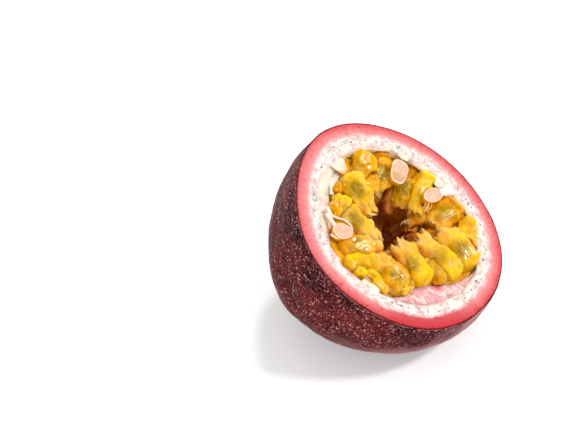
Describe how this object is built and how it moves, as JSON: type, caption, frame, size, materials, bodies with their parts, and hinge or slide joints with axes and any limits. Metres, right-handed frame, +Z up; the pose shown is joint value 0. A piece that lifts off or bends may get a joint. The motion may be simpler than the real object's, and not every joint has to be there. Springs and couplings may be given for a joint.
{
  "type": "passion fruit half",
  "caption": "Cut half of a ripe purple passion fruit lying tilted on its round back, with an open face of yellow juice sacs round a dark hollow.",
  "frame": {"origin": "centre of the small flat spot on the round back that the fruit rests on", "axes": "+Z up; the cut face leans 30 degrees from level towards -Y; X runs across the cut face"},
  "size_m": [0.0575, 0.0559, 0.0437],
  "materials": {
    "shell": "waxy speckled purple skin over moist red flesh",
    "pith": "soft spongy white lining",
    "pulp": "wet translucent yellow juice sacs"
  },
  "bodies": {
    "root": {"shell": "shell", "pith": "pith", "pulp": "pulp"}
  },
  "joints": []
}
